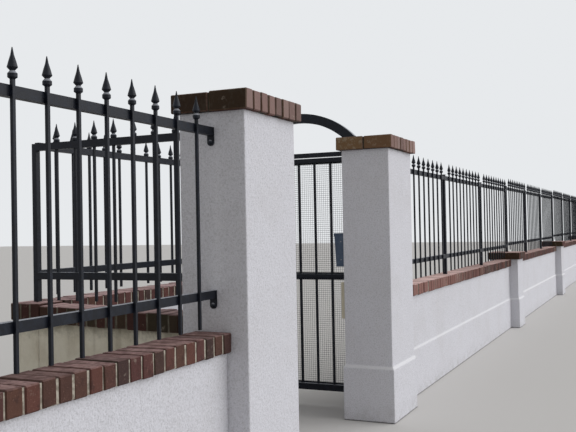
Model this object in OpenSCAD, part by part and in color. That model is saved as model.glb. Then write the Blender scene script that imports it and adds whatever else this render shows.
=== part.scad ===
// Rendered garden wall with brick copings, an entrance between two tall
// brick-capped piers, and spear-topped railings along the wall. Behind the
// entrance a return wall and a back wall close two sides of a small court,
// and a mesh-backed side gate in an arched frame closes the third.
//
// Millimetres. The origin is the middle of the left gate pier's base.
// X runs along the wall to the right, Y into the garden, Z up.

/* [Gate piers] */
// Width of a gate pier's shaft, along the wall
pier_w = 544; // [440:1:620]
// Depth of a gate pier's shaft, street to garden
pier_d = 349; // [300:1:460]
// Height of a gate pier's shaft, up to its brick cap
pier_h = 1916; // [1700:1:2100]
// Clear way between the two gate piers
gate_gap = 1587; // [1200:1:2000]

/* [Brick courses] */
// Height of the brick caps and copings, one brick on edge
brick_h = 92; // [80:1:110]
// How far a pier's brick cap stands out past the shaft
cap_over = 31; // [15:1:50]
// How far the coping stands out past the wall's faces
coping_over = 23; // [12:1:30]

/* [Low wall] */
// Height of the rendered wall below its coping
wall_h = 808; // [650:1:950]
// Thickness of the rendered wall
wall_t = 148; // [140:1:200]
// How far the wall's street face lies behind the piers' street face
wall_set = 110; // [80:1:130]

/* [Small piers] */
// Width of a small pier's shaft, along the wall
small_w = 427; // [300:1:480]

/* [Steps] */
// How much higher each bay on the right stands than the one before it
bay_rise = 25; // [0:1:60]

/* [Plinths] */
// Height of the plinth, up to where its slope dies into the shaft
plinth_h = 394; // [280:1:480]
// The same height on the left of the entrance, where the base lies lower
left_plinth_h = 300; // [240:1:480]
// Height of the slope on top of the plinth
plinth_slope = 23; // [10:1:50]
// How far the piers' plinth stands out
pier_plinth_out = 13; // [8:1:30]
// How far the wall's plinth stands out
wall_plinth_out = 10; // [6:1:25]

/* [Railings] */
// Distance from the gate pier to the first picket's middle
picket_start = 163; // [120:1:180]
// Distance between two posts on the left run
post_pitch_left = 1752; // [1400:1:1900]
// Distance between two posts on the right run
post_pitch_right = 1714; // [1400:1:1900]
// Spaces between pickets from one post to the next
panel_spaces = 11; // [9:1:13]
// How far the railings stand from the wall's middle, towards the street
rail_off = 8; // [0:1:20]
// Width of a square picket
picket_w = 12.5; // [10:0.5:16]
// Height of a rail
rail_h = 38; // [30:1:44]
// Depth of a rail, street to garden
rail_d = 30; // [25:1:36]
// Side of a square post
post_w = 35; // [33:1:60]
// Space between the coping and the pickets' feet
picket_lift = 25; // [10:1:50]
// Height of the lower rail's middle above the coping
rail_low = 170; // [130:1:230]
// Height of the upper rail's middle above the coping
rail_high = 923; // [820:1:990]
// Height of the spear points above the coping
tip_high = 1062; // [1055:1:1150]
// Width of the plates that fix the rails to the piers
tab_w = 34; // [30:1:44]
// Height of those plates
tab_h = 86; // [65:1:105]
// Thickness of those plates
tab_t = 8; // [5:1:12]

/* [Court walls] */
// Height of the return wall and the back wall below their coping
court_h = 888; // [780:1:980]
// Distance of the back wall's middle from the gate piers' garden face
court_d = 1022; // [950:1:1400]
// Distance of the return wall's middle from the left gate pier's middle
return_off = -117; // [-160:1:0]
// Height of the return railing's lower rail's middle above the coping
court_rail_low = 157; // [130:1:230]
// Height of the return railing's upper rail's middle above the coping
court_rail_high = 852; // [760:1:950]
// Height of the court's spear points above the upper rail's middle
court_tip = 119; // [108:1:150]
// Side of the court railings' posts
court_post_w = 30; // [30:1:45]
// How much higher the back wall and its coping are than the return wall's
back_rise = 17; // [0:1:40]
// How much higher the back railing's rails are than the return railing's
back_rail_rise = 10; // [0:1:40]
// Distance of the return railing's first picket from the pier
return_start = 124; // [100:1:160]
// Distance between the return railing's pickets
return_pitch = 124.7; // [115:0.1:135]
// Distance of the back railing's first picket from the corner post's middle
back_start = 165; // [120:1:180]
// Distance between the back railing's pickets
back_pitch = 146; // [130:1:170]

/* [Side gate] */
// Distance of the gate's middle plane from the right gate pier's middle
gate_off = 102; // [20:1:140]
// Space between the pier and the frame's jamb, clear of the plinth
jamb_off = 22; // [18:1:40]
// Side of the frame's square jamb and post
jamb_w = 46; // [38:1:56]
// Height of the leaf's underside above the ground
leaf_lift = 117; // [60:1:150]
// Height of the leaf's upper edge
leaf_top = 1903; // [1700:1:1960]
// Height of the frame's straight head rail
head_h = 33; // [25:1:40]
// Space between the leaf and the head rail
head_gap = 9; // [6:1:12]
// Outer radius of the arch
arch_r = 652; // [600:1:760]
// Height of the arch's highest point
arch_top = 2257; // [2200:1:2350]
// Depth of the arch's band
arch_h = 70; // [45:1:80]
// Space between the jamb and the leaf, on the hinge side
hinge_gap = 13; // [10:1:16]
// Space between the leaf and the post, on the lock side
lock_gap = 8; // [6:1:12]
// Width of the leaf's stiles
stile_w = 44; // [36:1:50]
// Height of the leaf's bottom rail
leaf_foot_h = 48; // [36:1:56]
// Height of the leaf's middle and top rails
leaf_rail_h = 33; // [25:1:40]
// Height of the middle rail's upper edge above the ground
mid_rail = 1010; // [850:1:1150]
// Width of the leaf's upright bars
bar_w = 16; // [12:1:20]
// Spaces between the upright bars, from stile to stile
bar_spaces = 6; // [4:1:8]
// Distance between two upright bars
bar_pitch = 132.6; // [110:0.1:150]
// Radius of the hinge pins
pin_r = 5; // [4:0.5:6]

/* [Letter box] */
// Length of the letter box along the pier
box_l = 200; // [150:1:220]
// Depth of the letter box at its top
box_d = 78; // [60:1:100]
// Height of the letter box
box_h = 240; // [180:1:300]
// Height of the letter box's bottom above the ground
box_z = 1085; // [900:1:1250]

/* [Hidden] */

panels_per_bay = 3;
touch = 0.3;

render_color = [0.80, 0.81, 0.84];
brick_color = [0.42, 0.24, 0.20];
iron_color = [0.05, 0.05, 0.06];
box_color = [0.30, 0.35, 0.42];

right_x = pier_w + gate_gap;
garden_y = pier_d / 2;
wall_y = wall_set - pier_d / 2;
line_y = wall_y + wall_t / 2;
rail_y = line_y - rail_off;
coping_z = wall_h + brick_h;
coping_t = wall_t + 2 * coping_over;
post_top = rail_high + rail_h / 2 + 6;

// Side 1 is the right run and side -1 the left one. Posts and bays are
// counted from 1, away from the entrance.
function post_pitch(side) = side > 0 ? post_pitch_right : post_pitch_left;
function picket_pitch(side) = post_pitch(side) / panel_spaces;
function post_u(side, n) = picket_start - picket_pitch(side) + n * post_pitch(side);
function small_u(side, k) = post_u(side, panels_per_bay * k);
function bay_of(n) = ceil(n / panels_per_bay);
function rise(side, k) = side > 0 ? (k - 1) * bay_rise : 0;
function base_h(side) = side > 0 ? plinth_h : left_plinth_h;

// Places its children on the right run (side 1) or, mirrored, on the left
// run (side -1). There X starts at the gate pier's outer face.
module run(side) {
  if (side > 0) translate([right_x + pier_w / 2, 0, 0]) children();
  else translate([-pier_w / 2, 0, 0]) mirror([1, 0, 0]) children();
}

// Outline of a plinth seen from one side: upright, then sloped to the shaft
module plinth_outline(width, out, height) {
  polygon([
    [-width / 2 - out, 0], [width / 2 + out, 0],
    [width / 2 + out, height - plinth_slope], [width / 2, height],
    [-width / 2, height], [-width / 2 - out, height - plinth_slope]
  ]);
}

// Block with sloped top round a pier's shaft, centred on X and Y
module plinth(width, height) {
  out = pier_plinth_out;
  intersection() {
    translate([0, pier_d / 2 + out, 0]) rotate([90, 0, 0])
      linear_extrude(pier_d + 2 * out) plinth_outline(width, out, height);
    translate([-width / 2 - out, 0, 0]) rotate([90, 0, 90])
      linear_extrude(width + 2 * out) plinth_outline(pier_d, out, height);
  }
}

module pier(width, height, base) {
  color(render_color) {
    translate([-width / 2, -pier_d / 2, 0]) cube([width, pier_d, height]);
    plinth(width, base);
  }
}

module cap(width, z) {
  color(brick_color) translate([-width / 2 - cap_over, -pier_d / 2 - cap_over, z])
    cube([width + 2 * cap_over, pier_d + 2 * cap_over, brick_h]);
}

module small_pier(side, k) {
  run(side) translate([small_u(side, k), 0, 0])
    pier(small_w, coping_z + rise(side, k), base_h(side));
}

module small_cap(side, k) {
  run(side) translate([small_u(side, k), 0, 0]) cap(small_w, coping_z + rise(side, k));
}

// Section of the low wall, Y to the right and Z up
module wall_outline(height, base) {
  half = wall_t / 2;
  foot = half + wall_plinth_out;
  polygon([
    [-foot, 0], [foot, 0], [foot, base - plinth_slope], [half, base],
    [half, height], [-half, height], [-half, base], [-foot, base - plinth_slope]
  ]);
}

module wall_length(length, height, base) {
  rotate([90, 0, 90]) linear_extrude(length) wall_outline(height, base);
}

function bay_from(side, k) = k == 1 ? 0 : small_u(side, k - 1) + small_w / 2;
function bay_to(side, k) = small_u(side, k) - small_w / 2;
function bay_l(side, k) = bay_to(side, k) - bay_from(side, k);

// One bay of wall, cut to fit round the plinths at its two ends
module wall_bay(side, k) {
  base = base_h(side);
  run(side) color(render_color) difference() {
    translate([bay_from(side, k), line_y, 0])
      wall_length(bay_l(side, k), wall_h + rise(side, k), base);
    if (k == 1) translate([-pier_w / 2, 0, 0]) plinth(pier_w, base);
    else translate([small_u(side, k - 1), 0, 0]) plinth(small_w, base);
    translate([small_u(side, k), 0, 0]) plinth(small_w, base);
  }
}

// The coping of a higher bay runs in under the cap of the small pier before it
module coping_bay(side, k) {
  run(side) color(brick_color) difference() {
    translate([bay_from(side, k), wall_y - coping_over, wall_h + rise(side, k)])
      cube([bay_l(side, k), coping_t, brick_h]);
    if (k > 1) translate([small_u(side, k - 1), 0, 0])
      cap(small_w, coping_z + rise(side, k - 1));
  }
}

// Half outline of a spear finial, turned about its own axis: a slender
// point, wide shoulders, a drawn-in neck and a collar that sits on the bar
spear_h = 103;
spear_r = 17.5;
collar_r = 16;
neck_r = 8;
module spear() {
  shoulder = 0.37 * spear_h;
  neck = 0.27 * spear_h;
  collar_top = 0.18 * spear_h;
  collar_foot = 0.06 * spear_h;
  rotate_extrude($fn = 32) polygon([
    [0, 0], [neck_r, 0], [collar_r, collar_foot], [collar_r, collar_top],
    [neck_r, neck], [spear_r, shoulder], [0.72 * spear_r, 0.55 * spear_h],
    [0.34 * spear_r, 0.76 * spear_h], [1.5, spear_h], [0, spear_h]
  ]);
}

module picket(foot, tip) {
  translate([-picket_w / 2, -picket_w / 2, foot])
    cube([picket_w, picket_w, tip - spear_h - foot + 2]);
  translate([0, 0, tip - spear_h]) spear();
}

// Plate with a round lower end that fixes a rail's end to a pier. Its top
// is level with the rail's top, and its back is at X = 0.
module rail_tab() {
  translate([0, 0, rail_h / 2]) rotate([90, 0, 90]) linear_extrude(tab_t) union() {
    translate([-tab_w / 2, tab_w / 2 - tab_h]) square([tab_w, tab_h - tab_w / 2]);
    translate([0, tab_w / 2 - tab_h]) circle(d = tab_w, $fn = 48);
  }
}

// Two rails between two places along X, with their middles at y
module rails(from, to, y, heights) {
  for (h = heights) translate([from, y - rail_d / 2, h - rail_h / 2])
    cube([to - from, rail_d, rail_h]);
}

// Panel number n of a run, between post n - 1 (or the gate pier) and post n
module railing_panel(side, n) {
  z = coping_z + rise(side, bay_of(n));
  pitch = picket_pitch(side);
  from = n == 1 ? 0 : post_u(side, n - 1) + post_w / 2;
  first = n == 1 ? picket_start : post_u(side, n - 1) + pitch;
  run(side) color(iron_color) {
    difference() {
      union() {
        rails(from, post_u(side, n) - post_w / 2, rail_y, [z + rail_low, z + rail_high]);
        for (i = [0 : panel_spaces - 2])
          translate([first + i * pitch, rail_y - rail_d / 2 - picket_w / 2, 0])
            picket(z + picket_lift, z + tip_high);
      }
      // the pickets next to a small pier stop short of its cap
      for (k = [1 : 3])
        translate([small_u(side, k) - small_w / 2 - cap_over - 10, -pier_d, 0])
          cube([small_w + 2 * cap_over + 20, 2 * pier_d,
                coping_z + rise(side, k) + brick_h + picket_lift]);
    }
    if (n == 1) for (h = [rail_low, rail_high])
      translate([0, rail_y, z + h]) rail_tab();
  }
}

// A post stands on the coping, or at the end of a bay on the small pier's
// cap, and reaches the rails of the higher bay beside it
module post(side, n) {
  on_pier = n % panels_per_bay == 0;
  k = bay_of(n);
  last = side < 0 || k == 3;
  foot = coping_z + rise(side, k) + (on_pier ? brick_h : 0);
  top = coping_z + post_top + rise(side, on_pier && !last ? k + 1 : k);
  translate([post_u(side, n) - post_w / 2, rail_y - post_w / 2, foot])
    cube([post_w, post_w, top - foot]);
  translate([post_u(side, n) - post_w / 2 - 4, rail_y - post_w / 2 - 4, top])
    cube([post_w + 8, post_w + 8, 6]);
}

module posts(side, count) {
  run(side) color(iron_color) for (n = [1 : count]) post(side, n);
}

// The return wall and its railing are drawn along X and turned into the
// garden, so that their street side faces away from the entrance
module at_return() {
  translate([return_off, garden_y, 0]) rotate([0, 0, 90]) children();
}

fixing = 10;
court_z = court_h + brick_h;
return_rails = [court_z + court_rail_low, court_z + court_rail_high];
back_rails = [return_rails[0] + back_rail_rise, return_rails[1] + back_rail_rise];
back_y = garden_y + court_d;
back_x = return_off - wall_t / 2;
// the back wall ends just short of the side gate's far post
back_l = right_x + gate_off - jamb_w / 2 - fixing - back_x;
end_post_x = back_x + back_l - 40;

module back_wall() {
  color(render_color) translate([back_x, back_y, 0])
    wall_length(back_l, court_h + back_rise, left_plinth_h);
}

// Cut to fit round the pier's plinth and the back wall's
module return_wall() {
  color(render_color) difference() {
    at_return() wall_length(court_d, court_h, left_plinth_h);
    plinth(pier_w, left_plinth_h);
    back_wall();
  }
}

module back_coping() {
  color(brick_color)
    translate([back_x - coping_over, back_y - coping_t / 2, court_h + back_rise])
      cube([back_l + coping_over, coping_t, brick_h]);
}

module return_coping() {
  color(brick_color) at_return() translate([0, -coping_t / 2, court_h])
    cube([court_d - coping_t / 2, coping_t, brick_h]);
}

// Both of the court's posts stand on the back coping
module court_post(top) {
  foot = court_z + back_rise;
  translate([-court_post_w / 2, -court_post_w / 2, foot])
    cube([court_post_w, court_post_w, top - foot]);
}

// Pickets through the rails, at places along X
module court_pickets(places, foot, top_rail) {
  for (x = places) translate([x, 0, 0]) picket(foot + picket_lift, top_rail + court_tip);
}

// Railing on the return wall, with the post at the corner, a little before
// the back wall's middle
corner_at = court_d - 5;
module return_railing() {
  color(iron_color) at_return() {
    rails(0, corner_at - court_post_w / 2, 0, return_rails);
    for (z = return_rails) translate([0, 0, z]) rail_tab();
    court_pickets([return_start : return_pitch : court_d - return_pitch],
      court_z, return_rails[1]);
    translate([corner_at, 0, 0]) court_post(return_rails[1] + rail_h / 2);
  }
}

// Railing on the back wall, from the corner post to its own end post
module back_railing() {
  length = end_post_x - return_off;
  color(iron_color) translate([return_off, back_y, 0]) {
    rails(court_post_w / 2, length - court_post_w / 2, 0, back_rails);
    court_pickets([back_start : back_pitch : length - back_pitch / 2],
      court_z + back_rise, back_rails[1]);
    translate([length, 0, 0]) court_post(back_rails[1] + rail_h / 2 + 6);
  }
}

// Side gate. It is drawn in its own plane: X from the pier to the far post,
// Y through the gate, towards the entrance, Z up.
module at_gate() {
  translate([right_x + gate_off, garden_y, 0]) rotate([0, 0, 90]) children();
}

leaf_x = jamb_off + jamb_w + hinge_gap;
leaf_l = bar_spaces * bar_pitch + stile_w;
far_x = leaf_x + leaf_l + lock_gap;
frame_l = far_x + jamb_w - jamb_off;
head_z = leaf_top + head_gap;
arch_z = arch_top - arch_r;
jamb_h = arch_z + sqrt(arch_r * arch_r - frame_l * frame_l / 4);

module gate_arch() {
  translate([jamb_off + frame_l / 2, jamb_w / 2, arch_z]) rotate([90, 0, 0])
    linear_extrude(jamb_w) difference() {
      circle(r = arch_r, $fn = 160);
      circle(r = arch_r - arch_h, $fn = 160);
      translate([-2 * arch_r, head_z - arch_z - 2 * arch_r])
        square([4 * arch_r, 2 * arch_r]);
      for (s = [-1, 1]) translate([s * (frame_l / 2 + arch_r), 0])
        square([2 * arch_r, 4 * arch_r], center = true);
    }
}

// The jamb and the far post stand on the ground, with small blocks that fix
// them to the pier and to the back wall's end. The top is cut round the cap.
fixing_h = 60;
module gate_frame() {
  color(iron_color) difference() {
    at_gate() {
      for (x = [jamb_off, far_x])
        translate([x, -jamb_w / 2, 0]) cube([jamb_w, jamb_w, jamb_h]);
      translate([jamb_off, -jamb_w / 2, head_z]) cube([frame_l, jamb_w, head_h]);
      gate_arch();
      for (z = [plinth_h + 300, pier_h - 300])
        translate([0, -15, z]) cube([jamb_off, 30, fixing_h]);
      for (z = [left_plinth_h + 60, court_h - 160])
        translate([court_d - wall_t / 2 + 2, jamb_w / 2, z])
          cube([far_x + jamb_w - court_d + wall_t / 2 - 2, fixing, fixing_h]);
    }
    translate([right_x - pier_w / 2 - cap_over, -pier_d / 2 - cap_over, pier_h])
      cube([pier_w + 2 * cap_over, pier_d + 2 * cap_over, arch_r]);
  }
}

hinge_heights = [plinth_h + 60, leaf_top - 250];
barrel_r = 9;
barrel_h = 40;
plate_t = 5;
plate_l = 36;
pin_clear = 0.08;
axis_x = jamb_off + jamb_w + hinge_gap / 2;
axis_y = -jamb_w / 2 - hinge_gap;

// Lower half of a hinge on the jamb, with the pin that stands in it
module gate_hinge_pins() {
  color(iron_color) at_gate() for (z = hinge_heights) {
    translate([axis_x - plate_l, -jamb_w / 2 - plate_t, z]) cube([plate_l, plate_t, barrel_h]);
    translate([axis_x, axis_y, z]) cylinder(r = barrel_r, h = barrel_h, $fn = 48);
    translate([axis_x, axis_y, z]) cylinder(r = pin_r, h = 2 * barrel_h - 4, $fn = 48);
  }
}

// Upper half of a hinge, which turns on the pin with the leaf
module hinge_eye() {
  difference() {
    union() {
      translate([axis_x, axis_y, 0]) cylinder(r = barrel_r, h = barrel_h, $fn = 48);
      translate([axis_x, -jamb_w / 2 - plate_t, 0]) cube([plate_l, plate_t, barrel_h]);
    }
    translate([axis_x, axis_y, -1])
      cylinder(r = pin_r + pin_clear, h = barrel_h + 2, $fn = 48);
  }
}

module gate_hinge_eyes() {
  color(iron_color) at_gate() for (z = hinge_heights)
    translate([0, 0, z + barrel_h + touch]) hinge_eye();
}

module gate_leaf() {
  color(iron_color) at_gate() {
    for (x = [leaf_x, leaf_x + leaf_l - stile_w])
      translate([x, -jamb_w / 2, leaf_lift]) cube([stile_w, jamb_w, leaf_top - leaf_lift]);
    translate([leaf_x, -jamb_w / 2, leaf_lift]) cube([leaf_l, jamb_w, leaf_foot_h]);
    for (z = [mid_rail, leaf_top])
      translate([leaf_x, -jamb_w / 2, z - leaf_rail_h]) cube([leaf_l, jamb_w, leaf_rail_h]);
    for (n = [1 : bar_spaces - 1])
      translate([leaf_x + stile_w / 2 + n * bar_pitch - bar_w / 2, -bar_w / 2, leaf_lift])
        cube([bar_w, bar_w, leaf_top - leaf_lift]);
  }
}

// Lock case on the leaf's far stile, with a lever on each side
lock_z = 990;
lock_h = 120;
lock_w = 70;
lever_r = 8;
lever_l = 110;
lever_out = 42;
module gate_lock() {
  x = leaf_x + leaf_l - lock_w;
  color(iron_color) at_gate() {
    for (s = [-1, 1]) {
      translate([x, s > 0 ? jamb_w / 2 : -jamb_w / 2 - plate_t, lock_z])
        cube([lock_w, plate_t, lock_h]);
      translate([x + lock_w / 2, s * (jamb_w / 2 + plate_t), lock_z + 0.7 * lock_h])
        rotate([-90 * s, 0, 0]) cylinder(r = lever_r, h = lever_out, $fn = 32);
      translate([x + lock_w / 2 - lever_l, s * (jamb_w / 2 + plate_t + lever_out),
                 lock_z + 0.7 * lock_h])
        rotate([0, 90, 0]) cylinder(r = lever_r, h = lever_l + lever_r, $fn = 32);
    }
  }
}

// Striking plate on the post, facing the lock
module gate_lock_keep() {
  color(iron_color) at_gate()
    translate([far_x, jamb_w / 2, lock_z - 20])
      cube([jamb_w, plate_t, lock_h + 40]);
}

// Letter box on the garden face of the right gate pier, deeper at its top
box_x = 20;
lid_t = 6;
lid_over = 10;
module letter_box() {
  color(box_color) translate([right_x - pier_w / 2 + box_x, garden_y, box_z])
    rotate([90, 0, 90]) linear_extrude(box_l)
      polygon([[0, 0], [box_d - 22, 0], [box_d - lid_over, box_h - lid_t], [0, box_h - lid_t]]);
}

module letter_box_lid() {
  color(box_color) translate([right_x - pier_w / 2 + box_x - 3, garden_y, box_z + box_h - lid_t])
    cube([box_l + 6, box_d, lid_t]);
}

pier(pier_w, pier_h, left_plinth_h);  // gate_pier_left
translate([right_x, 0, 0])  // gate_pier_right
  pier(pier_w, pier_h, plinth_h);
cap(pier_w, pier_h);  // gate_pier_cap_left
translate([right_x, 0, 0]) cap(pier_w, pier_h);  // gate_pier_cap_right
small_pier(-1, 1);  // end_pier_left
small_pier(1, 1);  // small_pier_right_1
small_pier(1, 2);  // small_pier_right_2
small_pier(1, 3);  // end_pier_right
small_cap(-1, 1);  // end_pier_cap_left
small_cap(1, 1);  // small_pier_cap_1
small_cap(1, 2);  // small_pier_cap_2
small_cap(1, 3);  // end_pier_cap_right
wall_bay(-1, 1);  // wall_left
wall_bay(1, 1);  // wall_right_1
wall_bay(1, 2);  // wall_right_2
wall_bay(1, 3);  // wall_right_3
coping_bay(-1, 1);  // coping_left
coping_bay(1, 1);  // coping_right_1
coping_bay(1, 2);  // coping_right_2
coping_bay(1, 3);  // coping_right_3
railing_panel(-1, 1);  // railing_left_1
railing_panel(-1, 2);  // railing_left_2
railing_panel(-1, 3);  // railing_left_3
railing_panel(1, 1);  // railing_right_1
railing_panel(1, 2);  // railing_right_2
railing_panel(1, 3);  // railing_right_3
railing_panel(1, 4);  // railing_right_4
railing_panel(1, 5);  // railing_right_5
railing_panel(1, 6);  // railing_right_6
railing_panel(1, 7);  // railing_right_7
railing_panel(1, 8);  // railing_right_8
railing_panel(1, 9);  // railing_right_9
posts(-1, 3);  // posts_left
posts(1, 9);  // posts_right
return_wall();
return_coping();
return_railing();
back_wall();
back_coping();
back_railing();
gate_frame();
gate_hinge_pins();
gate_hinge_eyes();
gate_leaf();
gate_lock();
gate_lock_keep();
letter_box();
letter_box_lid();
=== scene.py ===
# %% [markdown]
# # A rendered garden wall with brick copings and iron railings
#
# The wall's sizes come from its CAD model, which is loaded first and never
# changed. This file gives it what a solid model leaves out: single bricks in
# their mortar, paint, bolts, wire mesh, a folded letter box, a cable cover and
# light.

import math
import random

import bmesh
import bpy
from mathutils import Matrix, Vector


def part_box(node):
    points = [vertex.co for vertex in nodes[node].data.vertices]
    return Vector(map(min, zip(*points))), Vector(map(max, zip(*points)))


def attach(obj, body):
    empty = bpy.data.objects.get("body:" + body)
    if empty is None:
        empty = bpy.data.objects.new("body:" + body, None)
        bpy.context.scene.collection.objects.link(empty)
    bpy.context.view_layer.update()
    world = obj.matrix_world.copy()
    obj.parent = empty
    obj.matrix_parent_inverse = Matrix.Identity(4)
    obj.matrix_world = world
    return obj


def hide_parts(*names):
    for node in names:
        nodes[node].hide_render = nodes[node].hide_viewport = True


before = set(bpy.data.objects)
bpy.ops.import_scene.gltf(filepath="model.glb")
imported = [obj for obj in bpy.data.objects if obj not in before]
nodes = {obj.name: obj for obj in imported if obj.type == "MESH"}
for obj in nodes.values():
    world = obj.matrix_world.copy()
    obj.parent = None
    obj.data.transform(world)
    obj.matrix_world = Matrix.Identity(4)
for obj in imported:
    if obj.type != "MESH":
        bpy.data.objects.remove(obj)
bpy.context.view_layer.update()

# %% [markdown]
# ## The camera
#
# The photo's lines give the camera: where the copings, plinths and rails meet
# far away is the direction of the wall, and how they spread tells how near the
# camera stands. It looks along the wall from outside, almost level. It could be
# aimed at a point by a constraint, but three measured angles also keep the
# small roll of a camera that is held by hand.

# %% Camera
PHOTO_WIDTH = 576
FOCAL_PX = 800.88
SENSOR_WIDTH = 36
EYE = (-3.4891, -1.8745, 1.3697)
turn, pitch, roll = 0.4339, 0.0149, -0.0190

forward = Vector((math.cos(turn), math.sin(turn), 0))
right = Vector((math.sin(turn), -math.cos(turn), 0))
up = Vector((0, 0, 1))
forward, up = (
    forward * math.cos(pitch) + up * math.sin(pitch),
    up * math.cos(pitch) - forward * math.sin(pitch),
)
right, up = (
    right * math.cos(roll) + up * math.sin(roll),
    up * math.cos(roll) - right * math.sin(roll),
)

lens = bpy.data.cameras.new("camera")
lens.sensor_width = SENSOR_WIDTH
lens.sensor_fit = "HORIZONTAL"
lens.lens = FOCAL_PX / PHOTO_WIDTH * SENSOR_WIDTH
camera = bpy.data.objects.new("camera", lens)
looking = Matrix((right, up, -forward)).transposed().to_4x4()
camera.matrix_world = Matrix.Translation(EYE) @ looking
bpy.context.scene.collection.objects.link(camera)
bpy.context.scene.camera = camera
print(f"lens {lens.lens:.1f} mm")

# %% [markdown]
# ## Light
#
# The real wall stands in soft light that comes from over its front, and the
# faces that look along it stay grey. Area lamps would have to be many beside a
# wall this long, so one sun with a very wide disc does the same, with shadows
# as soft.

# %% Lamp
TOWARDS_LIGHT = (0.45, -0.85, 0.62)
sun = bpy.data.lights.new("soft_sun", "SUN")
sun.energy = 1.95
sun.angle = math.radians(70)
sun.color = (1.0, 1.0, 1.02)
lamp = bpy.data.objects.new("soft_sun", sun)
lamp.rotation_euler = Vector(TOWARDS_LIGHT).to_track_quat("Z", "Y").to_euler()
bpy.context.scene.collection.objects.link(lamp)
print("sun from", TOWARDS_LIGHT)

# %% [markdown]
# ## Shader maths as Python
#
# Procedural finishes are sums and products of noise. Wired by hand they take a
# page each, so one small class wraps a socket: `1 - mask * 0.5` adds the Math
# nodes. Every other node comes from `NodeTree.add`, which takes a node's type,
# its settings and what goes into its sockets. A finish is such a tree, and it
# ends in one Principled shader.


# %% Socket class
class Value:
    """One output socket, with the arithmetic that the finishes need."""

    def __init__(self, owner, socket):
        self.owner, self.socket = owner, socket

    def math(self, operation, first, second):
        return self.owner.add("ShaderNodeMath", {"operation": operation}, {0: first, 1: second})

    def __add__(self, other):
        return self.math("ADD", self, other)

    def __sub__(self, other):
        return self.math("SUBTRACT", self, other)

    def __rsub__(self, other):
        return self.math("SUBTRACT", other, self)

    def __mul__(self, other):
        return self.math("MULTIPLY", self, other)

    __radd__, __rmul__ = __add__, __mul__


# %% Node tree class
class NodeTree:
    """A node tree, and the one way in which nodes are added to it."""

    def __init__(self, tree):
        self.tree = tree

    def put(self, socket, value):
        """Links a value into a socket, or sets the socket to a number or a colour."""
        if isinstance(value, Value):
            self.tree.links.new(value.socket, socket)
        elif value is not None:
            socket.default_value = value

    def add(self, kind, settings, sockets, out=0):
        """Any node, with its sockets by name or by number; gives one of its outputs."""
        node = self.tree.nodes.new(kind)
        for name, value in settings.items():
            setattr(node, name, value)
        for socket, value in sockets.items():
            self.put(node.inputs[socket], value)
        if node.outputs:
            return Value(self, node.outputs[out])


# %% Finish class
class Finish(NodeTree):
    """A material with one Principled shader, and the node maths that feeds it."""

    def __init__(self, name, **plain):
        self.material = bpy.data.materials.new(name)
        self.material.use_nodes = True
        super().__init__(self.material.node_tree)
        self.shader = self.tree.nodes["Principled BSDF"]
        self.set(**plain)

    def set(self, **sockets):
        """Fills sockets of the shader: base_color stands for Base Color."""
        for name, value in sockets.items():
            label = name.replace("_", " ").title().replace("Ior", "IOR")
            self.put(self.shader.inputs[label], value)

    def place(self, stretch=(1, 1, 1), shift=(0, 0, 0)):
        where = self.add("ShaderNodeTexCoord", {}, {}, out="Object")
        return self.add("ShaderNodeMapping", {}, {"Vector": where, "Scale": stretch, "Location": shift})

    def along(self, axis):
        """How far along an axis a point lies, in metres."""
        return self.add("ShaderNodeSeparateXYZ", {}, {0: self.place()}, out=axis)

    def own(self, name):
        """A number that the mesh carries as an attribute."""
        return self.add("ShaderNodeAttribute", {"attribute_name": name}, {}, out="Fac")

    def noise(self, scale, detail=3, rough=0.5, stretch=(1, 1, 1), shift=(0, 0, 0)):
        return self.add("ShaderNodeTexNoise", {}, {
            "Vector": self.place(stretch, shift), "Scale": scale, "Detail": detail, "Roughness": rough})

    def ramp(self, value, low, high):
        """0 below low, 1 above high and smooth between them."""
        return self.add("ShaderNodeMapRange", {"interpolation_type": "SMOOTHSTEP"},
                        {0: value, 1: low, 2: high, 3: 0.0, 4: 1.0})

    def faces(self, axis, way=1, low=0.5, high=0.9):
        """1 on faces that look along an axis, or against it where way is -1."""
        normal = self.add("ShaderNodeNewGeometry", {}, {}, out="Normal")
        look = self.add("ShaderNodeSeparateXYZ", {}, {0: normal}, out=axis)
        return self.ramp(look * way, low, high)

    def mix(self, first, second, share):
        """The first colour where share is 0 and the second where it is 1."""
        return self.add("ShaderNodeMix", {"data_type": "RGBA"}, {0: share, 6: first, 7: second}, out=2)

    def bump(self, height, distance, strength=1.0, under=None):
        """Dents of a depth in metres, over other dents if there are some."""
        return self.add("ShaderNodeBump", {}, {
            "Strength": strength, "Distance": distance, "Height": height, "Normal": under})


# %% [markdown]
# ## Backdrop
#
# The world adds a plain level of light from all round. The camera and the
# reflections see a paler backdrop instead. A pale sheet behind the wall could
# be that backdrop, but it would throw light and shade of its own. So the world
# has two backgrounds, and the Light Path tells which one a ray gets.

# %% World
world = bpy.data.worlds.new("backdrop")
bpy.context.scene.world = world
world.use_nodes = True
world.node_tree.nodes.clear()
backdrop = NodeTree(world.node_tree)


def background(colour, strength):
    return backdrop.add("ShaderNodeBackground", {}, {"Color": (*colour, 1), "Strength": strength})


seen = backdrop.add("ShaderNodeLightPath", {}, {}, out="Is Camera Ray")
for ray in ("Is Glossy Ray", "Is Transmission Ray"):
    other = backdrop.add("ShaderNodeLightPath", {}, {}, out=ray)
    seen = backdrop.add("ShaderNodeMath", {"operation": "MAXIMUM"}, {0: seen, 1: other})
soft_light = background((1.0, 1.0, 1.0), 0.42)
pale_backdrop = background((0.80, 0.82, 0.84), 1.0)
shown = backdrop.add("ShaderNodeMixShader", {}, {0: seen, 1: soft_light, 2: pale_backdrop})
backdrop.add("ShaderNodeOutputWorld", {}, {"Surface": shown})
bpy.context.scene.view_settings.view_transform = "Standard"
print(len(world.node_tree.nodes), "nodes in the world")

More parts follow.
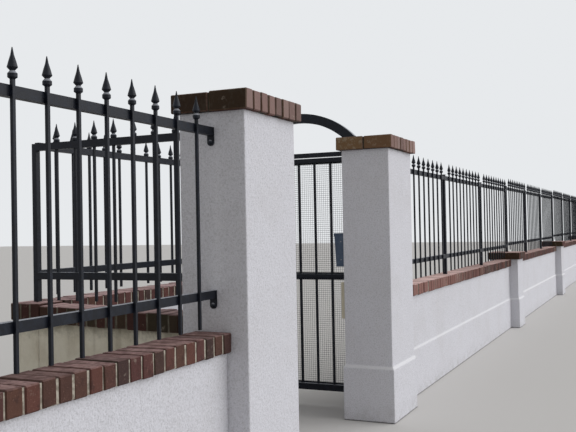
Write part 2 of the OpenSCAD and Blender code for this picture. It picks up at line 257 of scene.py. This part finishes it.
# %% [markdown]
# ## Floor
#
# The floor carries the wall's shadow and shows no more than that. A plane made
# point by point would do, but a one-square grid is a single operator. Its paint
# is pale and matt, so that the wall's own colours stand clear of it.


# %% Floor
def rgb(red, green, blue):
    """A colour as a screen shows it, 0 to 255, turned into light values."""
    parts = [value / 255 for value in (red, green, blue)]
    linear = [value / 12.92 if value <= 0.04045 else ((value + 0.055) / 1.055) ** 2.4
              for value in parts]
    return (*linear, 1.0)


FLOOR_HALF = 60
shape = bmesh.new()
bmesh.ops.create_grid(shape, x_segments=1, y_segments=1, size=FLOOR_HALF)
floor_mesh = bpy.data.meshes.new("floor")
shape.to_mesh(floor_mesh)
shape.free()
pale_floor = Finish("pale_floor", base_color=rgb(203, 201, 198), roughness=0.9, specular_ior_level=0.2)
floor_mesh.materials.append(pale_floor.material)
floor = bpy.data.objects.new("floor", floor_mesh)
bpy.context.scene.collection.objects.link(floor)
print("floor", 2 * FLOOR_HALF, "m wide")

# %% [markdown]
# ## Painted render
#
# The piers and walls are smooth cement render under a bluish white masonry
# paint. Close by, the float's marks show as a fine grain, and the faces wave a
# little over a hand's width. Faces that look up, such as the plinths' slopes,
# carry a painted top light that makes them paler. Splashes leave a faint grey
# foot, which ends in a dark line at the ground that is partly grime and partly
# painted contact shade. Displaced geometry could carry the grain, but on 24 m of
# wall it would cost millions of faces, so it is bump.


# %% White paint
def white_paint(finish, stipple):
    clouds = finish.ramp(finish.noise(2.3, 4, 0.6), 0.42, 0.72)
    colour = finish.mix(rgb(218, 218, 224), rgb(210, 209, 213), clouds * 0.6)
    speckle = finish.ramp(finish.noise(150, 4, 0.75), 0.5, 0.72)
    colour = finish.mix(colour, rgb(172, 171, 173), speckle * 0.7)
    colour = finish.mix(colour, rgb(176, 176, 178), finish.ramp(stipple, 0.46, 0.7) * 0.5)
    # Painted top light: faces that look up, such as the plinths' slopes, are painted paler.
    painted_top_light = finish.faces("Z", low=0.2, high=0.45)
    colour = finish.mix(colour, rgb(232, 232, 234), painted_top_light * 0.7)
    height = finish.along("Z")
    splash = (1 - finish.ramp(height, 0.0, 0.16)) * finish.ramp(finish.noise(14, 4, 0.7), 0.35, 0.75)
    colour = finish.mix(colour, rgb(150, 147, 142), splash * 0.35)
    # The dark line along the ground is partly grime and partly painted contact shade.
    foot = 1 - finish.ramp(height + finish.noise(60, 2) * 0.008, 0.008, 0.016)
    return finish.mix(colour, rgb(70, 66, 62), foot * 0.75)


# %% Render finish
def painted_render(name, more=None):
    """Render under white paint, and under more layers if a function adds them."""
    finish = Finish(name, specular_ior_level=0.25)
    stipple = finish.noise(98, 3, 0.7)
    colour = white_paint(finish, stipple)
    if more:
        colour = more(finish, colour)
    grain = finish.noise(420, 3, 0.65)
    float_marks = finish.noise(95, 2, 0.5, stretch=(1, 1, 0.6))
    waves = finish.bump(finish.noise(7, 2, 0.45), 0.010, 0.5)
    finish.set(
        base_color=colour,
        roughness=0.72 + grain * 0.16,
        normal=finish.bump(grain * 0.4 + float_marks * 0.9 + stipple * 0.8, 0.0040, 1.0, waves),
    )
    print(len(finish.tree.nodes), "nodes in", name)
    return finish.material


white_render = painted_render("white_render")

# %% [markdown]
# ## Cream render
#
# The court's walls are white on the side of the entrance. The left one is an
# older cream on its other side, the one that looks left. Damp has darkened the
# cream under the brick coping, and a few brown runs come down from it. The wall
# could be cut in two for its two paints, but the side is told by where a face
# looks, so one finish does both.


# %% Cream finish
def old_cream(finish, white):
    clouds = finish.ramp(finish.noise(6, 4, 0.6), 0.4, 0.7)
    cream = finish.mix(rgb(232, 226, 208), rgb(214, 206, 186), clouds)
    runs = finish.ramp(finish.noise(9, 3, 0.6, stretch=(1, 1, 0.12)), 0.56, 0.72)
    cream = finish.mix(cream, rgb(138, 122, 96), runs * 0.35)
    ragged = (finish.noise(22, 4, 0.7) - 0.5) * 0.16
    damp = finish.ramp(finish.along("Z") + ragged, 0.80, 0.90)
    cream = finish.mix(cream, rgb(92, 84, 62), damp * 0.55)
    return finish.mix(white, cream, finish.faces("X", -1, 0.3, 0.7))


cream_render = painted_render("cream_render", old_cream)

# %% [markdown]
# ## Brick and mortar
#
# Each brick carries two numbers of its own: its tone, from dark to light red,
# and how it was burnt, which makes some bricks olive and some nearly black. They
# are written on the mesh as attributes when the brick is made. A material for
# each sort of brick would do too, but attributes let one finish serve them all.
#
# Weather lies over the clay, and painted light and shade lie over both. Tops
# are dusty and carry a painted sky sheen. They are palest round the court and
# on the right run near the entrance, where the fronts are warmer too, as a
# painted pool of light that fades away from the entrance. The ends that look
# left are dark on the copings and low caps, partly from damp and partly as
# painted shade. On the high caps they are brown with lichen, and darkest on the
# left cap, which is painted shade, while the fronts are greyer.
# Wire-cut faces are pitted and faintly scored.


# %% Clay
def fired_clay(finish, tone, burnt, patches, flecks):
    clay = finish.mix(rgb(88, 57, 54), rgb(96, 62, 54), finish.ramp(tone, 0.45, 1.0))
    clay = finish.mix(clay, rgb(76, 48, 46), 1 - finish.ramp(tone, 0.0, 0.4))
    olive = finish.ramp(burnt, 0.28, 0.34) * (1 - finish.ramp(burnt, 0.44, 0.50))
    clay = finish.mix(clay, rgb(82, 63, 50), olive * 0.5)
    clay = finish.mix(clay, rgb(60, 49, 46), finish.ramp(burnt, 0.66, 0.9) * 0.85)
    clay = finish.mix(clay, rgb(66, 46, 42), finish.ramp(patches, 0.5, 0.66) * 0.7)
    return finish.mix(clay, rgb(150, 116, 102), finish.ramp(flecks, 0.62, 0.74) * 0.6)


# %% Weather
# Where one kind of weather, painted light or painted shade gives way to the
# next, in metres along Z, Y or X
UP_TO_CAPS = (1.1, 1.3)
INTO_COURT = (0.12, 0.2)
RIGHT_RUN = (2.3, 2.5)
AWAY_FROM_ENTRANCE = (3.0, 6.4)
BETWEEN_CAPS = (0.9, 1.1)


def copings_weather_and_painted_light(finish, clay, tone, burnt, patches, high_up):
    top, front, left_end = finish.faces("Z"), finish.faces("Y", -1), finish.faces("X", -1)
    # Tops: dust, with a painted sky sheen over it.
    dust_and_sheen = finish.mix(rgb(166, 136, 132), rgb(118, 92, 89), finish.ramp(patches, 0.38, 0.62))
    clay = finish.mix(clay, dust_and_sheen, top * (0.42 + 0.45 * tone))
    # Tops round the court are painted paler still, as painted sky light on them.
    court = finish.ramp(finish.along("Y"), *INTO_COURT) * (1 - high_up)
    clay = finish.mix(clay, rgb(226, 192, 190), top * court * (0.42 + 0.3 * tone))
    # Painted light on the right run: paler tops and warmer fronts, strongest near the entrance and
    # fading away from it.
    right_run = finish.ramp(finish.along("X"), *RIGHT_RUN)
    painted_light_near = 1 - finish.ramp(finish.along("X"), *AWAY_FROM_ENTRANCE)
    clay = finish.mix(clay, rgb(244, 210, 203), top * right_run * (0.5 + 0.35 * painted_light_near + 0.15 * tone))
    clay = finish.mix(clay, rgb(158, 116, 108), front * right_run * painted_light_near * 0.6)
    # Left ends of the copings and low caps: darker partly from damp and partly as painted shade on the
    # side away from the light.
    damp = finish.mix(rgb(58, 34, 28), rgb(50, 46, 30), finish.ramp(burnt, 0.3, 0.7))
    return finish.mix(clay, damp, left_end * (1 - high_up) * 0.8)


def caps_weather_and_painted_shade(finish, clay, burnt, high_up):
    front, left_end = finish.faces("Y", -1) * high_up, finish.faces("X", -1) * high_up
    grey = finish.mix(rgb(180, 156, 149), rgb(146, 120, 113), burnt)
    clay = finish.mix(clay, grey, front * 0.55)
    brown = finish.mix(rgb(146, 117, 80), rgb(108, 81, 58), burnt)
    lichen = finish.ramp(finish.noise(19, 4, 0.75, shift=(5, 2, 1)), 0.5, 0.62)
    brown = finish.mix(brown, rgb(176, 162, 140), lichen * 0.6)
    clay = finish.mix(clay, brown, left_end * 0.75)
    # The left cap's left end is painted near black as painted shade.
    left_cap = 1 - finish.ramp(finish.along("X"), *BETWEEN_CAPS)
    return finish.mix(clay, rgb(36, 25, 17), left_end * left_cap * 0.88)


# %% Brick finish
def brick_finish():
    finish = Finish("old_red_brick", specular_ior_level=0.2)
    tone, burnt = finish.own("tone"), finish.own("burnt")
    patches, flecks = finish.noise(26, 5, 0.68), finish.noise(210, 2, 0.6)
    high_up = finish.ramp(finish.along("Z"), *UP_TO_CAPS)
    clay = fired_clay(finish, tone, burnt, patches, flecks)
    clay = copings_weather_and_painted_light(finish, clay, tone, burnt, patches, high_up)
    clay = caps_weather_and_painted_shade(finish, clay, burnt, high_up)
    smear = finish.ramp(finish.noise(17, 4, 0.7, shift=(3, 1, 5)), 0.60, 0.70)
    clay = finish.mix(clay, rgb(172, 160, 146), smear * 0.32)
    pits, score = finish.noise(330, 4, 0.7), finish.noise(120, 2, 0.6, stretch=(1, 1, 6))
    finish.set(
        base_color=clay,
        roughness=0.78 + flecks * 0.15,
        normal=finish.bump(pits + score * 0.5, 0.0022, 1.0, finish.bump(patches, 0.006, 0.7)),
    )
    return finish.material


old_brick = brick_finish()
print(len(old_brick.node_tree.nodes), "nodes in the brick")


# %% Mortar finish
def mortar_finish(name, face):
    """Sandy mortar, stained in places, and darker on top and on its left ends."""
    finish = Finish(name, specular_ior_level=0.15)
    stain = finish.ramp(finish.noise(30, 4, 0.65), 0.42, 0.62)
    colour = finish.mix(face, rgb(112, 103, 92), stain * 0.75)
    colour = finish.mix(colour, rgb(62, 50, 48), finish.faces("Z", low=0.4, high=0.8) * 0.9)
    # The left ends are darker partly from damp and partly as painted shade, as on the bricks.
    colour = finish.mix(colour, rgb(70, 66, 52), finish.faces("X", -1) * 0.75)
    sand = finish.noise(520, 3, 0.7)
    finish.set(base_color=colour, roughness=0.92, normal=finish.bump(sand, 0.002, 0.8))
    return finish.material


pale_mortar = mortar_finish("pale_mortar", rgb(182, 175, 161))
dark_mortar = mortar_finish("dark_mortar", rgb(30, 23, 21))
print("mortars", pale_mortar.name, dark_mortar.name)

# %% [markdown]
# ## From a bmesh to a piece
#
# Every made piece ends the same way: its mesh goes into an object at the
# origin, gets its finish and rides on a body of the model. It could be placed
# by moving its object, but then a pattern on object coordinates would start
# from a new place on each piece.


# %% Keep a piece
def keep(shape, name, material, body="wall", stands_for=(), smooth=False):
    data = bpy.data.meshes.new(name)
    for face in shape.faces:
        face.smooth = smooth
    shape.to_mesh(data)
    shape.free()
    data.materials.append(material)
    piece = bpy.data.objects.new(name, data)
    bpy.context.scene.collection.objects.link(piece)
    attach(piece, body)
    if stands_for:
        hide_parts(*stands_for)
    print(name, len(data.polygons), "faces")


# %% [markdown]
# ## Blocks and turned shapes
#
# Two helpers make most of the small fittings: a block between two corners, with
# its edges rounded if asked, and a shape turned on a lathe, which is a half
# outline of a few points spun about its own axis. A cylinder with bevels could
# stand for a turned shape, but a half outline gives every step and dome at once.


# %% Block
def block(shape, low, high, edge=0.0, segments=2):
    """A box between two corners; gives its eight points, unless they are rounded."""
    low, high = Vector(low), Vector(high)
    place = Matrix.Translation((low + high) / 2) @ Matrix.Diagonal((*(high - low), 1))
    corners = bmesh.ops.create_cube(shape, size=1, matrix=place)["verts"]
    if edge:
        edges = {line for corner in corners for line in corner.link_edges}
        bmesh.ops.bevel(shape, geom=list(edges), offset=edge, segments=segments,
                        profile=0.5, affect="EDGES", material=-1)
    return corners


# %% Turned shape
SAME_SPOT = 0.00001


def turned(shape, outline, middle, toward, steps=20):
    """Spins an outline of (radius, height) points; its axis points toward."""
    before = set(shape.verts)
    start = [shape.verts.new((radius, 0, height)) for radius, height in outline]
    lines = [shape.edges.new(pair) for pair in zip(start, start[1:])]
    bmesh.ops.spin(shape, geom=start + lines, cent=(0, 0, 0), axis=(0, 0, 1),
                   angle=math.tau, steps=steps, use_merge=True)
    made = [vert for vert in shape.verts if vert not in before]
    bmesh.ops.remove_doubles(shape, verts=made, dist=SAME_SPOT)
    made = [vert for vert in shape.verts if vert not in before]
    faces = {face for vert in made for face in vert.link_faces}
    bmesh.ops.recalc_face_normals(shape, faces=list(faces))
    aim = Vector(toward).to_track_quat("Z", "Y").to_matrix().to_4x4()
    bmesh.ops.transform(shape, matrix=Matrix.Translation(middle) @ aim, verts=made)


# %% [markdown]
# ## One brick
#
# A hand-laid brick is never quite square, and its edges are worn. An array of
# copies would repeat one brick, so each is its own cube, pushed out of true by
# its own small amounts from a seeded random, with a bevel for the wear.

# %% One brick
# The most that a brick is turned and tilted, in degrees
TURN_MOST, TILT_MOST = 0.9, 0.7
# How far a corner is off, how wide a worn edge is, and by what factors that varies
OUT_OF_TRUE, ARRIS, WEAR = 0.0011, 0.0035, (0.7, 1.6)


def brick(shape, layers, middle, size, chance):
    """A cube near its place; each layer then gives it a number of its own."""
    turning = Matrix.Rotation(math.radians(chance.uniform(-TURN_MOST, TURN_MOST)), 4, "Z")
    tilting = Matrix.Rotation(math.radians(chance.uniform(-TILT_MOST, TILT_MOST)), 4, "Y")
    place = Matrix.Translation(middle) @ turning @ tilting @ Matrix.Diagonal((*size, 1))
    corners = bmesh.ops.create_cube(shape, size=1, matrix=place)["verts"]
    for corner in corners:
        corner.co += Vector([chance.uniform(-OUT_OF_TRUE, OUT_OF_TRUE) for _ in range(3)])
    edges = {edge for corner in corners for edge in corner.link_edges}
    made = bmesh.ops.bevel(shape, geom=list(edges), offset=ARRIS * chance.uniform(*WEAR),
                           segments=1, profile=0.5, affect="EDGES", material=-1)
    faces = {face for vert in made["verts"] for face in vert.link_faces}
    for layer in layers:
        share = chance.random()
        for face in faces:
            face[layer] = share


# %% [markdown]
# ## Rows of bricks
#
# A coping is a row of bricks on edge, laid across the wall, and a pier's cap is
# two such rows. Each node's box says how long and deep its row is, and as many
# bricks go in as fit. The mortar is one bed behind the bricks' faces: joints
# cut between the bricks one by one would look the same and cost far more faces.

# %% Rows
# A joint, how much narrower a worn brick is, and how far the bed lies under the tops
JOINT, WORN, BED_LOW = 0.008, 0.0012, 0.006
# How bricks of one row differ: at the top, at the foot, in width, in length, in place
TOPS, FEET = (0, 0.0035), (-0.003, 0.001)
WIDTHS, LENGTHS, PLACES = (-0.0025, 0.0015), (0, 0.005), (-0.002, 0.002)


def lay_row(bricks, bed, low, high, rows, chance, recess, pitch, place):
    """Bricks on edge that fill a box along X, with mortar, moved to their place."""
    layers = [bricks.faces.layers.float[name] for name in ("tone", "burnt")]
    length, depth = high.x - low.x, high.y - low.y
    count = round((length + JOINT) / pitch)
    width = (length + JOINT) / count - JOINT
    reach = (depth + JOINT) / rows - JOINT
    old = set(bricks.verts)
    for number in range(count):
        for row in range(rows):
            top = high.z - chance.uniform(*TOPS)
            foot = low.z + chance.uniform(*FEET)
            wide = width - WORN + chance.uniform(*WIDTHS)
            long = reach - chance.uniform(*LENGTHS)
            x = low.x + width / 2 + number * (width + JOINT)
            y = low.y + reach / 2 + row * (reach + JOINT) + chance.uniform(*PLACES)
            brick(bricks, layers, (x, y, (top + foot) / 2), (wide, long, top - foot), chance)
    new = [vert for vert in bricks.verts if vert not in old]
    bmesh.ops.transform(bricks, matrix=place, verts=new)
    corners = block(bed, low + Vector((recess, recess, 0)), high - Vector((recess, recess, BED_LOW)))
    bmesh.ops.transform(bed, matrix=place, verts=corners)
    return count * rows


def turned_row(low, high, lift=0.0, rise=0.0):
    """A box whose row runs along Y: the box along X, and what turns it back."""
    middle, half, length = (low.x + high.x) / 2, (high.x - low.x) / 2, high.y - low.y
    slope = Matrix(((1, 0, 0, 0), (0, 1, 0, 0), (rise / length, 0, 1, 0), (0, 0, 0, 1)))
    place = Matrix.Translation((middle, low.y, lift)) @ Matrix.Rotation(math.pi / 2, 4, "Z") @ slope
    return Vector((0, -half, low.z)), Vector((length, half, high.z)), place


# %% [markdown]
# ## Laying the copings and caps
#
# Three copings need care. The return coping rises from the pier to its corner.
# The back coping's corner is laid with the return wall's bricks, so that they
# run right through. On the right run, each later bay's coping starts tucked
# under the cap before it. All the others simply fill their boxes.

# %% Copings and caps
PITCH, BACK_PITCH, RETURN_PITCH = 0.078, 0.070, 0.0625
RETURN_LIFT, RETURN_RISE = -0.0175, 0.0225
CAP_OVER, CAP_GAP = 0.031, 0.004
BAY_STEP = 0.025
BED_ARRIS = 0.003


def lay_bricks(node, rows, seed, mortar, recess):
    low, high = (Vector(corner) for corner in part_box(node))
    bricks, bed = bmesh.new(), bmesh.new()
    for name in ("tone", "burnt"):
        bricks.faces.layers.float.new(name)
    chance = random.Random(seed)

    def lay(start, end, place=Matrix(), pitch=PITCH):
        return lay_row(bricks, bed, start, end, rows, chance, recess, pitch, place)

    if node == "return_coping":
        count = lay(*turned_row(low, high, RETURN_LIFT, RETURN_RISE), RETURN_PITCH)
    elif node == "back_coping":
        split = low.x + high.y - low.y
        count = lay(*turned_row(low, Vector((split, high.y, high.z))), RETURN_PITCH)
        count += lay(Vector((split + JOINT, low.y, low.z)), high, pitch=BACK_PITCH)
    elif node in ("coping_right_2", "coping_right_3"):
        start = low.x + CAP_OVER + CAP_GAP
        count = lay(Vector((start, low.y, low.z)), high)
        block(bed, low + Vector((0, recess, 0)), (start + recess, high.y - recess, high.z - BAY_STEP))
    else:
        count = lay(low, high)
    keep(bricks, "bricks_" + node, old_brick, stands_for=[node])
    bmesh.ops.bevel(bed, geom=bed.edges[:], offset=BED_ARRIS, segments=2, profile=0.5,
                    affect="EDGES", material=-1)
    keep(bed, "mortar_" + node, mortar)
    return count


total = 0
for part, rows, seed, mortar, recess in (("coping", 1, 40, pale_mortar, 0.0048),
                                         ("cap", 2, 80, dark_mortar, 0.009)):
    for number, node in enumerate(sorted(name for name in nodes if part in name)):
        total += lay_bricks(node, rows, seed + number, mortar, recess)
print(total, "bricks laid")

# %% [markdown]
# ## Softened arrises on the rendered walls
#
# A plasterer rounds every corner with the float. The walls could be remade from
# blocks with bevels, but modifiers keep the CAD mesh as it is. Its faces are
# loose triangles, so a weld joins them and a planar decimation clears the inner
# edges before a bevel rounds what is left.

# %% Rendered walls
CORNER_ROUND = 0.006
WELD_WITHIN = 0.00002
FLAT, SHARP = math.radians(0.5), math.radians(12)


def dress(piece, material):
    piece.data.materials.clear()
    piece.data.materials.append(material)


def rounded(piece):
    weld = piece.modifiers.new("weld", "WELD")
    weld.merge_threshold = WELD_WITHIN
    clear = piece.modifiers.new("clear", "DECIMATE")
    clear.decimate_type = "DISSOLVE"
    clear.angle_limit = FLAT
    bevel = piece.modifiers.new("arris", "BEVEL")
    bevel.width = CORNER_ROUND
    bevel.segments = 3
    bevel.limit_method = "ANGLE"
    bevel.angle_limit = SHARP


brickwork = [name for name in nodes if "cap" in name or "coping" in name]
walls = [name for name in nodes if ("pier" in name or "wall" in name) and name not in brickwork]
for node in walls:
    dress(nodes[node], cream_render if node in ("return_wall", "back_wall") else white_render)
    rounded(nodes[node])
print(len(walls), "rendered walls and piers")

# %% [markdown]
# ## Black satin paint
#
# The ironwork is square bar and tube under several coats of black. It reads
# slightly blue in soft light. Everything that faces up is painted pale, partly
# as dust and partly as a painted sky highlight. Old brush marks run along the
# bars. A plain black would do at a distance, but near by it would look like
# plastic.


# %% Iron finish
def iron_finish():
    finish = Finish("black_satin_paint", specular_ior_level=0.22)
    worn = finish.noise(38, 4, 0.7)
    # Faces that look up: dust, with a painted sky highlight along the top edges.
    dust_and_sheen = finish.faces("Z", low=0.35, high=0.75)
    colour = finish.mix(rgb(15, 18, 26), rgb(25, 30, 41), finish.ramp(worn, 0.4, 0.7))
    colour = finish.mix(colour, rgb(168, 171, 178), dust_and_sheen * (0.55 + worn * 0.45))
    brushed = finish.noise(160, 3, 0.6, stretch=(1, 1, 0.15))
    finish.set(
        base_color=colour,
        roughness=0.34 + worn * 0.22 + dust_and_sheen * 0.3,
        normal=finish.bump(brushed, 0.0008, 0.5, finish.bump(worn, 0.002, 0.3)),
    )
    return finish.material


IRON_NAMES = ("railing", "posts", "gate_frame", "gate_leaf", "gate_hinge", "gate_lock")
black_iron = iron_finish()
ironwork = [name for name in nodes if name.startswith(IRON_NAMES) or name.endswith("railing")]
for node in ironwork:
    dress(nodes[node], black_iron)
print(len(ironwork), "nodes of ironwork")

# %% [markdown]
# ## Bolts on the rail plates
#
# Each rail's plate is held to its pier by one round-headed bolt near its round
# lower end, painted over with the rest. The head is a shallow dome on a washer.
# A flattened sphere would lack the washer's step, so the head is turned.

# %% Bolts
DOME = [(0, 0.0062), (0.0035, 0.0058), (0.0066, 0.0044), (0.0085, 0.0018),
        (0.0085, 0.0012), (0.0115, 0.0012), (0.0115, -0.001), (0, -0.001)]
PLATE = 0.008
FRONT_BOLTS, RETURN_BOLTS = (1.020, 1.773), (1.087, 1.782)
RAIL_Y, RETURN_X = 0.0015, -0.117

bolts = bmesh.new()
for node, outward in (("railing_left_1", -1), ("railing_right_1", 1)):
    low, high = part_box(node)
    face = low[0] + PLATE if outward == 1 else high[0] - PLATE
    for height in FRONT_BOLTS:
        turned(bolts, DOME, (face, RAIL_Y, height), (outward, 0, 0))
low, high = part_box("return_railing")
for height in RETURN_BOLTS:
    turned(bolts, DOME, (RETURN_X, low[1] + PLATE, height), (0, 1, 0))
keep(bolts, "rail_bolts", black_iron, smooth=True)

# %% [markdown]
# ## Wire mesh on the side gate
#
# Square welded mesh backs the gate's bars, so that nobody reaches through to the
# latch. It is two panels of thin wire, between the stiles and over and under the
# middle rail, with the level wires lying on the upright ones. A see-through
# texture would be lighter, but the exported shape would lose its wires. A flat
# strip round each panel clamps it to the leaf.

# %% Wire
WIRE, MESH_PITCH = 0.0010, 0.016


def wire(shape, start, end, sides=6):
    start, end = Vector(start), Vector(end)
    run = end - start
    place = Matrix.Translation((start + end) / 2) @ run.to_track_quat("Z", "Y").to_matrix().to_4x4()
    bmesh.ops.create_cone(shape, cap_ends=True, segments=sides, radius1=WIRE, radius2=WIRE,
                          depth=run.length, matrix=place)


print("wire", 2 * WIRE, "m thick, every", MESH_PITCH, "m")

# %% Mesh
# The leaf's members, and how deep the level wires and the strips lie, in wire radii
STILE, FOOT, LEAF_RAIL, MIDDLE_RAIL_TOP, BAR = 0.044, 0.048, 0.033, 1.010, 0.016
LEVEL_AT, STRIPS_AT = 2.8, 4
STRIP, STRIP_THICK, STRIP_ARRIS = 0.012, 0.003, 0.0008

low, high = (Vector(corner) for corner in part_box("gate_leaf"))
plane = (low.x + high.x) / 2 + BAR / 2
upright_x, level_x, back = plane + WIRE, plane + LEVEL_AT * WIRE, plane + STRIPS_AT * WIRE
left, far = low.y + STILE, high.y - STILE
wires, strips = bmesh.new(), bmesh.new()
for foot, top in ((low.z + FOOT, MIDDLE_RAIL_TOP - LEAF_RAIL), (MIDDLE_RAIL_TOP, high.z - LEAF_RAIL)):
    across = round((far - left) / MESH_PITCH)
    upward = round((top - foot) / MESH_PITCH)
    for number in range(1, across):
        y = left + (far - left) * number / across
        wire(wires, (upright_x, y, foot), (upright_x, y, top))
    for number in range(1, upward):
        z = foot + (top - foot) * number / upward
        wire(wires, (level_x, left, z), (level_x, far, z))
    for y in (left, far - STRIP):
        block(strips, (back, y, foot), (back + STRIP_THICK, y + STRIP, top), STRIP_ARRIS)
    for z in (foot, top - STRIP):
        block(strips, (back, left + STRIP, z), (back + STRIP_THICK, far - STRIP, z + STRIP), STRIP_ARRIS)
keep(wires, "gate_mesh", black_iron, body="side_gate", smooth=True)
keep(strips, "gate_mesh_strips", black_iron, body="side_gate")

# %% [markdown]
# ## Letter box
#
# A small folded sheet-steel box hangs on the back of the right pier, deeper at
# its top than at its foot. It could be folded from thin sheets, but nobody sees
# inside, so its body starts as a closed cube whose lower front edge is pushed
# back, with shallow pressed panels inset in the front and the sides. The lid
# has a lip turned down over the slot's flap, and there is a cam lock below.


# %% Letter box finish
def slate_paint():
    finish = Finish("slate_blue_enamel", specular_ior_level=0.3)
    clouds = finish.noise(16, 4, 0.6)
    colour = finish.mix(rgb(68, 82, 102), rgb(88, 100, 116), finish.ramp(clouds, 0.4, 0.7))
    streaks = finish.ramp(finish.noise(40, 3, 0.6, stretch=(1, 1, 0.15)), 0.55, 0.75)
    colour = finish.mix(colour, rgb(104, 112, 122), streaks * 0.25)
    # The top is painted pale, partly as dust and partly as a painted highlight.
    dust_and_sheen = finish.faces("Z", low=0.6, high=0.95)
    colour = finish.mix(colour, rgb(158, 166, 172), dust_and_sheen * 0.8)
    finish.set(base_color=colour, roughness=0.38 + clouds * 0.2 + dust_and_sheen * 0.25,
               normal=finish.bump(finish.noise(300, 2, 0.5), 0.0006, 0.4))
    return finish.material


slate = slate_paint()
print(len(slate.node_tree.nodes), "nodes in the slate paint")

# %% Letter box body
BODY_DEEPER, FOOT_BACK = 0.008, 0.012
PANEL_IN, PRESS_WIDE, PRESS_DEEP = 0.011, 0.0025, 0.0016
FOLD, FOLD_ANGLE = 0.003, math.radians(50)
NEAR = 0.001

low, high = (Vector(corner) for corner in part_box("letter_box"))
high.y += BODY_DEEPER
body = bmesh.new()
for corner in block(body, low, high):
    if corner.co.z < low.z + NEAR and corner.co.y > low.y + NEAR:
        corner.co.y -= FOOT_BACK
panels = [face for face in body.faces if abs(face.normal.z) < 0.5 and face.normal.y > -0.5]
bmesh.ops.inset_individual(body, faces=panels, thickness=PANEL_IN)
bmesh.ops.inset_individual(body, faces=panels, thickness=PRESS_WIDE, depth=-PRESS_DEEP)
outer = [line for line in body.edges if line.calc_face_angle(0) > FOLD_ANGLE]
bmesh.ops.bevel(body, geom=outer, offset=FOLD, segments=3, profile=0.5, affect="EDGES", material=-1)
keep(body, "letter_box_body", slate, stands_for=["letter_box"])

# %% Letter box lid and flap
SHEET, LIP, LIP_DROP, SIDE_DROP, SIDE_TOP = 0.0045, 0.002, 0.020, 0.012, 0.001
FLAP_IN, FLAP_TOP, FLAP_FOOT, OVERHANG = 0.022, 0.030, 0.062, 0.010
FLAP_IN_BODY, FLAP_PROUD = 0.003, 0.0015
SHEET_EDGE, LIP_EDGE, FLAP_EDGE = 0.0014, 0.0009, 0.0012

low, high = (Vector(corner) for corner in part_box("letter_box_lid"))
lid = bmesh.new()
block(lid, (low.x, low.y, high.z - SHEET), high, SHEET_EDGE)
block(lid, (low.x, high.y - LIP, high.z - LIP_DROP), high, LIP_EDGE)
for x in (low.x, high.x - LIP):
    block(lid, (x, low.y, high.z - SIDE_DROP), (x + LIP, high.y, high.z - SIDE_TOP), LIP_EDGE)
keep(lid, "letter_box_cover", slate, stands_for=["letter_box_lid"])

front = high.y - OVERHANG
flap = bmesh.new()
block(flap, (low.x + FLAP_IN, front - FLAP_IN_BODY, high.z - FLAP_FOOT),
      (high.x - FLAP_IN, front + FLAP_PROUD, high.z - FLAP_TOP), FLAP_EDGE)
keep(flap, "letter_box_flap", slate)

# %% Letter box lock and rivets
CAM = [(0, 0.0035), (0.0062, 0.0035), (0.0078, 0.0026), (0.0100, 0.0016), (0.0100, -0.003), (0, -0.003)]
RIVET = [(0, 0.0022), (0.0026, 0.0018), (0.0042, 0.0004), (0.0042, -0.001), (0, -0.001)]
LOCK_DOWN, LOCK_BACK = 0.150, 0.0075
KEY_BAR = ((-0.0008, 0.003, -0.004), (0.0008, 0.0042, 0.004))
KEY_EDGE = 0.0003
RIVET_IN, RIVET_OUT, RIVETS_DOWN = 0.0046, 0.026, (0.060, 0.190)

lock = bmesh.new()
middle = Vector(((low.x + high.x) / 2, front - LOCK_BACK, high.z - LOCK_DOWN))
turned(lock, CAM, middle, (0, 1, 0.05))
block(lock, *(middle + Vector(corner) for corner in KEY_BAR), KEY_EDGE)
for x, toward in ((low.x + RIVET_IN, -1), (high.x - RIVET_IN, 1)):
    for down in RIVETS_DOWN:
        turned(lock, RIVET, (x, low.y + RIVET_OUT, high.z - down), (toward, 0, 0), 16)
zinc = Finish("zinc_plated", metallic=1.0)
brushed = zinc.noise(140, 3, 0.6)
zinc.set(base_color=zinc.mix(rgb(170, 172, 176), rgb(132, 134, 138), brushed),
         roughness=0.32 + brushed * 0.2, normal=zinc.bump(brushed, 0.0003, 0.4))
keep(lock, "letter_box_fittings", zinc.material)

# %% [markdown]
# ## Cable cover
#
# A short cream cover with rounded edges runs up the back of the right pier, just
# beside the entrance, as such a cover does over a bell or lamp cable. It could
# be an extruded arc, but at this size a block with rounded edges looks the
# same. It lies against the pier's shaft, a little in from its corner.

# %% Cable cover
PLINTH_OUT, FROM_CORNER = 0.013, 0.012
COVER_WIDE, COVER_DEEP, COVER_ROUND = 0.030, 0.028, 0.006
COVER_FOOT, COVER_TOP = 0.714, 0.975

low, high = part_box("gate_pier_right")
left, back = low[0] + PLINTH_OUT + FROM_CORNER, high[1] - PLINTH_OUT
cover = bmesh.new()
block(cover, (left, back, COVER_FOOT), (left + COVER_WIDE, back + COVER_DEEP, COVER_TOP), COVER_ROUND, 3)
plastic = Finish("cream_plastic", roughness=0.45, specular_ior_level=0.35)
plastic.set(base_color=plastic.mix(rgb(206, 198, 176), rgb(188, 180, 158), plastic.noise(40, 4, 0.6)))
keep(cover, "cable_cover", plastic.material)
